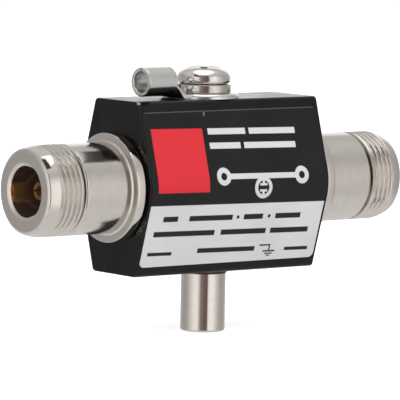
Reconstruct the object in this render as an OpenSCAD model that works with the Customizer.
// In-line coaxial lightning arrestor: two type N jacks on a ridged die-cast housing,
// a ground screw with a crimp lug on top and a screw cap that holds the gas tube below.
// The origin is the middle of the line jack's mating face, +X runs along the coax line,
// +Z points up to the ground screw, and the label faces -Y. Sizes are in millimetres.

/* [Housing] */
// Length of the housing along the coax line
body_len = 39.6; // [36:0.2:48]
// Height of the housing
body_h = 30.4; // [29:0.2:36]
// Width of the flat top and bottom
body_top_w = 12.4; // [11:0.2:14]
// Width over the two side ridges before they are rounded
ridge_w = 21.4; // [20.4:0.2:26]
// Rounding of the side ridges
ridge_r = 9; // [4:0.5:12]
// Rounding of the four long edges
edge_r = 0.8; // [0.6:0.1:1.5]
// Bevel round both ends
end_bevel = 0.45; // [0.2:0.05:0.5]

/* [Label] */
// Thickness of the label
label_t = 0.12; // [0.08:0.02:0.3]
// Height of bare housing above and below the label
label_margin = 1.8; // [1:0.1:3]
// Bare housing beside the label at each end
label_end_gap = 0.7; // [0.5:0.1:2]
// Corner rounding of the label
label_corner_r = 1; // [0.5:0.1:2]

/* [Jacks] */
// Length of a jack from the housing to its mating face
jack_len = 19.4; // [18:0.2:24]
// Outside diameter of the coupling thread
thread_d = 15.875; // [15.5:0.005:16.2]
// Diameter of the flat ring at the mating face
face_d = 13.6; // [12:0.2:14.6]
// Length of the outer bevel behind the mating face
nose_bevel = 1; // [0.5:0.1:1.5]
// Distance from the mating face to the end of the thread
thread_end = 7; // [6:0.1:7.6]
// Width of the relief groove behind the thread
relief_w = 0.9; // [0.6:0.1:2]
// Diameter at the bottom of the relief groove
relief_d = 14.4; // [13.6:0.1:15]
// Diameter of the smooth barrel
barrel_d = 15.9; // [15.5:0.1:17]
// Diameter of the flange that seats on the housing
flange_d = 19.2; // [18:0.2:20]
// Thickness of the flange
flange_t = 2.2; // [1.5:0.1:3]
// Diameter of the jack's bore
jack_bore_d = 8.8; // [8.2:0.1:9.2]
// Diameter of the bevelled mouth of the bore
mouth_d = 10.2; // [9.6:0.1:11]
// Depth of the bevelled mouth
mouth_bevel = 0.35; // [0.2:0.05:0.6]
// Depth of the shoulder that a plug's outer contact meets
shoulder_depth = 9.1; // [8.5:0.1:9.6]
// Diameter of the shank pressed into the housing
shank_d = 13; // [12.4:0.2:14]
// Length of the shank pressed into the housing
shank_len = 5; // [3:0.2:6.4]

/* [Coax line] */
// Bore of the coax line around the inner conductor
line_d = 7; // [6.4:0.1:7.4]
// Diameter of the inner conductor and of the socket contacts
conductor_d = 3.04; // [2.8:0.02:3.2]
// Diameter of the pin bore in a socket contact
pin_bore_d = 1.68; // [1.6:0.02:1.8]
// Depth of the pin bore in a socket contact
pin_bore_depth = 5; // [3.5:0.1:6]
// Distance of the contact's tip behind the mating face
contact_tip = 3.1; // [2.6:0.1:4]
// Width of the four slots in a socket contact
contact_slot_w = 0.26; // [0.2:0.02:0.3]
// Length of the four slots in a socket contact
contact_slot_len = 3.6; // [2.5:0.1:4]
// Distance of the bead behind the mating face
bead_depth = 12; // [11:0.1:13]
// Thickness of the insulating bead
bead_t = 4; // [3:0.1:5]
// Outside diameter of the bead and of the bush behind it
bead_d = 10; // [9:0.1:10.6]
// Diameter of the contact where it passes through the bead
neck_d = 2.2; // [1.9:0.05:2.4]
// Diameter of the contact's tail in the inner conductor
tail_d = 1.4; // [1.2:0.05:1.6]
// Length of the contact's tail in the inner conductor
tail_len = 3; // [2:0.1:4]
// Depth of the flat where the gas tube meets the inner conductor
contact_flat = 0.25; // [0.15:0.05:0.4]

/* [Gas tube] */
// Diameter of the gas tube
tube_d = 6; // [5.6:0.1:6.2]
// Height of the gas tube over both electrodes
tube_h = 6.2; // [5.6:0.1:6.4]
// Wall of the ceramic ring
ceramic_wall = 0.8; // [0.6:0.05:1]
// Thickness of an electrode's rim on the ceramic ring
electrode_rim_t = 0.5; // [0.4:0.05:0.7]
// Diameter of the electrode button that takes the contact
button_d = 4.4; // [4:0.1:5]
// Height of the electrode button
button_h = 0.5; // [0.3:0.05:0.7]
// Gap between the two electrodes inside the tube
spark_gap = 0.8; // [0.5:0.1:1.2]
// Outside diameter of the spring under the tube
spring_d = 4.4; // [4:0.1:4.6]
// Wire diameter of the spring
spring_wire_d = 0.5; // [0.4:0.05:0.6]
// Number of turns of the spring
spring_turns = 5; // [4:1:7]

/* [Tube cap] */
// Diameter of the cap
cap_d = 7.9; // [7.6:0.1:9]
// Length of the cap below its gasket
cap_len = 10.4; // [8:0.2:14]
// Rounding of the cap's lower edge
cap_edge_r = 0.5; // [0.3:0.1:1]
// Diameter of the cap's thread
cap_thread_d = 7; // [6.8:0.05:7.2]
// Length of the cap's thread in the housing
cap_thread_len = 6; // [5.6:0.1:6.6]
// Depth of the spring pocket in the cap
pocket_depth = 4; // [3:0.1:5]
// Thickness of the gasket between cap and housing
gasket_t = 0.6; // [0.4:0.05:1]
// Amount by which the gasket's rim stands out past the cap
gasket_rim = 0.2; // [0.1:0.05:0.4]

/* [Ground terminal] */
// Distance of the ground screw from the middle of the housing
screw_offset = -0.8; // [-2:0.1:2]
// Diameter of the ground screw's thread
screw_d = 5; // [4.8:0.1:5.2]
// Length of the ground screw under its head
screw_len = 8; // [7.4:0.1:8.4]
// Diameter of the screw's pan head
head_d = 9.4; // [9:0.1:9.8]
// Height of the screw's pan head
head_h = 3.1; // [2.8:0.1:3.4]
// Fullness of the head's dome, from 2 for an ellipse up towards a flat top
head_fullness = 2.8; // [2:0.1:3.6]
// Height of the head's rounded lower rim
head_rim_h = 0.65; // [0.5:0.05:0.8]
// Amount by which the head's seat is smaller than its rim
head_rim_in = 0.5; // [0.3:0.05:0.6]
// Span of the cross recess
recess_span = 5; // [4.4:0.1:5.6]
// Width of a wing of the cross recess
recess_w = 1.1; // [0.9:0.05:1.4]
// Depth of the cross recess
recess_depth = 2; // [1.6:0.1:2.2]
// Direction of one wing of the cross recess, from +X towards +Y
recess_angle = 52; // [0:1:89]
// Outside diameter of the spring washer
washer_d = 9.6; // [8.8:0.1:9.8]
// Thickness of the spring washer
washer_t = 1.5; // [1.2:0.1:1.8]
// Width of the split in the spring washer
washer_split_w = 0.7; // [0.5:0.1:1]
// Direction of the split, from +X towards +Y
washer_split_angle = 172; // [0:1:359]
// Slant of the split from upright
washer_split_slant = 20; // [10:1:25]
// Thickness of the lug's sheet metal
lug_t = 0.85; // [0.7:0.05:1]
// Diameter of the lug's ring
lug_ring_d = 12.6; // [12:0.1:13.4]
// Diameter of the hole in the lug's ring
lug_hole_d = 5.4; // [5.3:0.05:5.8]
// Direction of the lug's barrel, from -X towards -Y
lug_angle = 5; // [-30:1:30]
// Distance of the barrel's open end from the screw
lug_reach = 14.9; // [14:0.1:18]
// Length of the lug's barrel
lug_barrel_len = 6.5; // [5:0.1:7.4]
// Outside diameter of the lug's barrel
lug_barrel_d = 5.1; // [4.8:0.1:5.6]
// Bore of the lug's barrel
lug_bore_d = 3.6; // [3.2:0.1:3.8]
// Height of the barrel's underside above the housing
lug_lift = 0.5; // [0.3:0.05:0.7]
// Width of the neck between ring and barrel
lug_neck_w = 5.6; // [5:0.1:6.4]

/* [Hidden] */
$fn = 96;

// Clearances
press_gap = 0.02;
thread_gap = 0.1;
slide_gap = 0.2;
// Gap round an electrode's post inside the ceramic ring
post_gap = 0.6;
// Hole left below the screw's tip
screw_spare = 1;
// Amount by which a cut passes the face that it opens
over = 1;

// Places along the coax line
total_len = body_len + 2 * jack_len;
body_mid = total_len / 2;
screw_x = body_mid + screw_offset;

// Section of the housing: flanks lean out from the flat top to the ridge at mid height
half_h = body_h / 2;
half_ridge = ridge_w / 2;
lean = atan((ridge_w - body_top_w) / body_h);
ridge_centre = half_ridge - ridge_r / cos(lean);
edge_centre_z = half_h - edge_r;
edge_centre_y = half_ridge - edge_centre_z * tan(lean) - edge_r / cos(lean);
ridge_steps = 20;
edge_steps = 6;

// Inside of a jack
shank_end = jack_len + shank_len;
bush_len = shank_end - bead_depth - bead_t;
contact_end = bead_depth + bead_t + tail_len;

// Gas tube and cap
tube_top = contact_flat - conductor_d / 2;
tube_bottom = tube_top - tube_h;
ceramic_h = tube_h - 2 * (button_h + electrode_rim_t);
post_h = (ceramic_h - spark_gap) / 2;
post_d = tube_d - 2 * (ceramic_wall + post_gap);
tube_bore_d = tube_d + 2 * slide_gap;
cap_top = -half_h + cap_thread_len;
cap_seat = -half_h - gasket_t;
cap_bottom = cap_seat - cap_len;
pocket_bottom = cap_top - pocket_depth;
spring_h = tube_bottom - pocket_bottom;

// Ground terminal, stacked on the housing's top
washer_seat = half_h + lug_t;
head_seat = washer_seat + washer_t;
screw_hole_depth = screw_len - lug_t - washer_t + screw_spare;
lug_barrel_z = half_h + lug_lift + lug_barrel_d / 2;

// Points of an arc about (cx, cy) from angle a0 to a1
function arc(cx, cy, r, a0, a1, steps) =
    [for (i = [0:steps]) let (a = a0 + (a1 - a0) * i / steps) [cx + r * cos(a), cy + r * sin(a)]];

// Outline of the housing's section in (Y, Z), drawn in by the given inset
function section(inset) =
    let (rr = ridge_r - inset, re = edge_r - inset)
    concat(
        arc(-ridge_centre, 0, rr, 180 + lean, 180 - lean, ridge_steps),
        arc(-edge_centre_y, edge_centre_z, re, 180 - lean, 90, edge_steps),
        arc(edge_centre_y, edge_centre_z, re, 90, lean, edge_steps),
        arc(ridge_centre, 0, rr, lean, -lean, ridge_steps),
        arc(edge_centre_y, -edge_centre_z, re, -lean, -90, edge_steps),
        arc(-edge_centre_y, -edge_centre_z, re, -90, -180 + lean, edge_steps));

// Front skin of the housing in (Y, Z), from the label's lower edge to its upper edge
label_half_h = half_h - label_margin;
function flank_y(z, out) = abs(z) * tan(lean) - half_ridge - out / cos(lean);
function front_skin(out) =
    concat(
        [[flank_y(label_half_h, out), -label_half_h]],
        arc(-ridge_centre, 0, ridge_r + out, 180 + lean, 180 - lean, ridge_steps),
        [[flank_y(label_half_h, out), label_half_h]]);
function reversed(list) = [for (i = [len(list) - 1:-1:0]) list[i]];

// An outline in (Y, Z) drawn out along X about the housing's middle
module along_line(length) {
    translate([body_mid, 0, 0])
        rotate([90, 0, 90])
            linear_extrude(length, center = true)
                children();
}

// A round solid along X from an outline in (radius, X)
module turned(outline) {
    rotate([0, 90, 0])
        rotate_extrude()
            polygon(outline);
}

// A cylinder along X that starts at x
module line_cylinder(x, length, d) {
    translate([x, 0, 0])
        rotate([0, 90, 0])
            cylinder(d = d, h = length);
}

// The same piece at the radio end, turned to face the other way
module radio_end() {
    translate([total_len, 0, 0])
        mirror([1, 0, 0])
            children();
}

// Die-cast block with the coax line bored through it
module housing_block() {
    color("#232323")
        difference() {
            hull() {
                along_line(body_len - 2 * end_bevel)
                    polygon(section(0));
                along_line(body_len)
                    polygon(section(end_bevel));
            }
            line_cylinder(jack_len - over, body_len + 2 * over, line_d);
            jack_socket();
            radio_end()
                jack_socket();
            tube_bore();
            screw_hole();
        }
}

// Socket for a jack's shank
module jack_socket() {
    line_cylinder(jack_len - over, over + shank_len, shank_d + 2 * press_gap);
}

// Bore for the gas tube with a wider thread for its cap
module tube_bore() {
    translate([body_mid, 0, -half_h - over]) {
        cylinder(d = tube_bore_d, h = half_h + over);
        cylinder(d = cap_thread_d + 2 * thread_gap, h = over + cap_thread_len + slide_gap);
    }
}

// Blind tapped hole for the ground screw
module screw_hole() {
    translate([screw_x, 0, half_h - screw_hole_depth])
        cylinder(d = screw_d + 2 * thread_gap, h = screw_hole_depth + over);
}

// Thin label wrapped over both front flanks
module front_label() {
    label_len = body_len - 2 * label_end_gap;
    color("#2a2a2a")
        intersection() {
            along_line(label_len)
                polygon(concat(front_skin(label_t), reversed(front_skin(0))));
            translate([body_mid, 0, 0])
                rotate([90, 0, 0])
                    linear_extrude(ridge_w)
                        rounded_plate(label_len, 2 * label_half_h, label_corner_r);
        }
}

// Flat plate with round corners, about the middle
module rounded_plate(length, height, r) {
    square([length - 2 * r, height], center = true);
    square([length, height - 2 * r], center = true);
    for (sx = [-1, 1], sy = [-1, 1])
        translate([sx * (length / 2 - r), sy * (height / 2 - r)])
            circle(r = r);
}

// Turned shell of a jack, with its thread drawn at full diameter
module jack_shell() {
    color("#bdb7ae")
        turned([
            [mouth_d / 2, 0],
            [face_d / 2, 0],
            [thread_d / 2, nose_bevel],
            [thread_d / 2, thread_end],
            [relief_d / 2, thread_end],
            [relief_d / 2, thread_end + relief_w],
            [barrel_d / 2, thread_end + relief_w],
            [barrel_d / 2, jack_len - flange_t],
            [flange_d / 2, jack_len - flange_t],
            [flange_d / 2, jack_len],
            [shank_d / 2, jack_len],
            [shank_d / 2, shank_end],
            [bead_d / 2 + press_gap, shank_end],
            [bead_d / 2 + press_gap, bead_depth],
            [line_d / 2, bead_depth],
            [line_d / 2, shoulder_depth],
            [jack_bore_d / 2, shoulder_depth],
            [jack_bore_d / 2, mouth_bevel]]);
}

// Slotted socket contact with a neck through the bead and a tail in the inner conductor
module jack_contact() {
    color("#c9a24a")
        difference() {
            union() {
                line_cylinder(contact_tip, bead_depth - contact_tip, conductor_d);
                line_cylinder(bead_depth, bead_t, neck_d);
                line_cylinder(bead_depth + bead_t, contact_end - bead_depth - bead_t, tail_d);
            }
            line_cylinder(contact_tip - over, over + pin_bore_depth, pin_bore_d);
            for (turn = [0, 90])
                rotate([turn, 0, 0])
                    translate([contact_tip - over, -contact_slot_w / 2, -conductor_d])
                        cube([over + contact_slot_len, contact_slot_w, 2 * conductor_d]);
        }
}

// Insulating bead that centres the contact
module jack_bead() {
    color("#f1efe8")
        turned([
            [neck_d / 2 + press_gap, bead_depth],
            [bead_d / 2, bead_depth],
            [bead_d / 2, bead_depth + bead_t],
            [neck_d / 2 + press_gap, bead_depth + bead_t]]);
}

// Bush pressed in behind the bead
module jack_bush() {
    color("#b9a15d")
        turned([
            [line_d / 2, shank_end - bush_len],
            [bead_d / 2, shank_end - bush_len],
            [bead_d / 2, shank_end],
            [line_d / 2, shank_end]]);
}

module line_jack_shell() { jack_shell(); }
module line_jack_contact() { jack_contact(); }
module line_jack_bead() { jack_bead(); }
module line_jack_bush() { jack_bush(); }
module radio_jack_shell() { radio_end() jack_shell(); }
module radio_jack_contact() { radio_end() jack_contact(); }
module radio_jack_bead() { radio_end() jack_bead(); }
module radio_jack_bush() { radio_end() jack_bush(); }

// Rod between the two contacts, with a flat below for the gas tube
module inner_conductor() {
    rod_start = bead_depth + bead_t;
    flat_len = tube_bore_d;
    color("#c8b273")
        difference() {
            line_cylinder(rod_start, total_len - 2 * rod_start, conductor_d);
            line_cylinder(rod_start - over, over + tail_len + slide_gap, tail_d + 2 * press_gap);
            radio_end()
                line_cylinder(rod_start - over, over + tail_len + slide_gap, tail_d + 2 * press_gap);
            translate([body_mid - flat_len / 2, -conductor_d, tube_top - conductor_d])
                cube([flat_len, 2 * conductor_d, conductor_d]);
        }
}

// Ceramic ring of the gas tube
module tube_ceramic() {
    color("#e9e6df")
        translate([body_mid, 0, tube_bottom + button_h + electrode_rim_t])
            difference() {
                cylinder(d = tube_d, h = ceramic_h);
                translate([0, 0, -over])
                    cylinder(d = tube_d - 2 * ceramic_wall, h = ceramic_h + 2 * over);
            }
}

// Electrode with a button outside and a post inside, standing on its button
module electrode() {
    cylinder(d = button_d, h = button_h);
    translate([0, 0, button_h])
        cylinder(d = tube_d, h = electrode_rim_t);
    translate([0, 0, button_h + electrode_rim_t])
        cylinder(d = post_d, h = post_h);
}

module tube_top_electrode() {
    color("#b9b7b2")
        translate([body_mid, 0, tube_top])
            mirror([0, 0, 1])
                electrode();
}

module tube_bottom_electrode() {
    color("#b9b7b2")
        translate([body_mid, 0, tube_bottom])
            electrode();
}

// Round wire wound as a helix that just touches both of its ends
module tube_spring() {
    steps = 16;
    sides = 8;
    wire_r = spring_wire_d / 2;
    coil_r = spring_d / 2 - wire_r;
    rise = spring_h - spring_wire_d;
    rings = steps * spring_turns;
    points = [for (i = [0:rings], j = [0:sides - 1])
        let (a = 360 * i / steps, u = 360 * j / sides, reach = coil_r + wire_r * cos(u))
        [reach * cos(a), reach * sin(a), wire_r + rise * i / rings + wire_r * sin(u)]];
    walls = [for (i = [0:rings - 1], j = [0:sides - 1])
        let (k = (j + 1) % sides)
        [i * sides + j, i * sides + k, (i + 1) * sides + k, (i + 1) * sides + j]];
    first_end = [for (j = [sides - 1:-1:0]) j];
    last_end = [for (j = [0:sides - 1]) rings * sides + j];
    color("#a9a9a6")
        translate([body_mid, 0, pocket_bottom])
            polyhedron(points, concat(walls, [first_end, last_end]));
}

// Screw cap with a pocket for the spring in its threaded shank
module tube_cap() {
    color("#beb8ae")
        translate([body_mid, 0, 0])
            difference() {
                union() {
                    rotate_extrude()
                        polygon(concat(
                            [[0, cap_bottom]],
                            arc(cap_d / 2 - cap_edge_r, cap_bottom + cap_edge_r, cap_edge_r, -90, 0, edge_steps),
                            [[cap_d / 2, cap_seat], [0, cap_seat]]));
                    translate([0, 0, cap_seat])
                        cylinder(d = cap_thread_d, h = cap_top - cap_seat);
                }
                translate([0, 0, pocket_bottom])
                    cylinder(d = spring_d + 2 * slide_gap, h = pocket_depth + over);
            }
}

// Flat gasket between the cap's shoulder and the housing
module cap_gasket() {
    color("#1b1b1b")
        translate([body_mid, 0, cap_seat])
            difference() {
                cylinder(d = cap_d + 2 * gasket_rim, h = gasket_t);
                translate([0, 0, -over])
                    cylinder(d = cap_thread_d + 2 * press_gap, h = gasket_t + 2 * over);
            }
}

// Pan-head machine screw with a cross recess
module ground_screw() {
    head_top = head_seat + head_h;
    rim_z = head_seat + head_rim_h;
    dome_h = head_h - head_rim_h;
    dome_steps = 14;
    dome_power = 2 / head_fullness;
    color("#c9c7c4")
        translate([screw_x, 0, 0])
            difference() {
                union() {
                    rotate_extrude()
                        polygon(concat(
                            [[0, head_seat]],
                            [for (a = [-90:15:0])
                                [head_d / 2 - head_rim_in * (1 - cos(a)), rim_z + head_rim_h * sin(a)]],
                            [for (i = [1:dome_steps]) let (a = 90 * i / dome_steps)
                                [head_d / 2 * pow(cos(a), dome_power), rim_z + dome_h * pow(sin(a), dome_power)]]));
                    translate([0, 0, head_seat - screw_len])
                        cylinder(d = screw_d, h = screw_len);
                }
                for (turn = [0, 90])
                    rotate([0, 0, turn + recess_angle])
                        translate([-recess_span / 2, -recess_w / 2, head_top - recess_depth])
                            cube([recess_span, recess_w, recess_depth + over]);
            }
}

// Split spring washer
module spring_washer() {
    color("#b5aea5")
        translate([screw_x, 0, washer_seat])
            difference() {
                cylinder(d = washer_d, h = washer_t);
                translate([0, 0, -over])
                    cylinder(d = screw_d + 2 * thread_gap, h = washer_t + 2 * over);
                rotate([0, 0, washer_split_angle])
                    rotate([washer_split_slant, 0, 0])
                        translate([0, -washer_split_w / 2, -washer_t])
                            cube([washer_d, washer_split_w, 4 * washer_t]);
            }
}

// Crimp lug: ring, neck and barrel folded from one sheet
module ground_lug() {
    barrel_end = -lug_reach;
    barrel_start = barrel_end + lug_barrel_len;
    neck_start = -lug_ring_d / 2;
    color("#c4c5c6")
        translate([screw_x, 0, 0])
            rotate([0, 0, lug_angle])
                difference() {
                    union() {
                        translate([0, 0, half_h])
                            cylinder(d = lug_ring_d, h = lug_t);
                        hull() {
                            translate([neck_start - lug_t, -lug_neck_w / 2, half_h])
                                cube([2 * lug_t, lug_neck_w, lug_t]);
                            intersection() {
                                translate([0, 0, lug_barrel_z])
                                    line_cylinder(barrel_start - lug_t, lug_t, lug_barrel_d);
                                translate([barrel_start - lug_t - over, -lug_barrel_d, half_h])
                                    cube([lug_t + 2 * over, 2 * lug_barrel_d, lug_lift + 2 * lug_t]);
                            }
                        }
                        translate([0, 0, lug_barrel_z])
                            line_cylinder(barrel_end, lug_barrel_len, lug_barrel_d);
                    }
                    translate([0, 0, lug_barrel_z])
                        line_cylinder(barrel_end - over, lug_barrel_len + 2 * over, lug_bore_d);
                    translate([0, 0, half_h - over])
                        cylinder(d = lug_hole_d, h = lug_t + 2 * over);
                }
}

housing_block();
front_label();
line_jack_shell();
line_jack_contact();
line_jack_bead();
line_jack_bush();
radio_jack_shell();
radio_jack_contact();
radio_jack_bead();
radio_jack_bush();
inner_conductor();
tube_ceramic();
tube_top_electrode();
tube_bottom_electrode();
tube_spring();
tube_cap();
cap_gasket();
ground_screw();
spring_washer();
ground_lug();
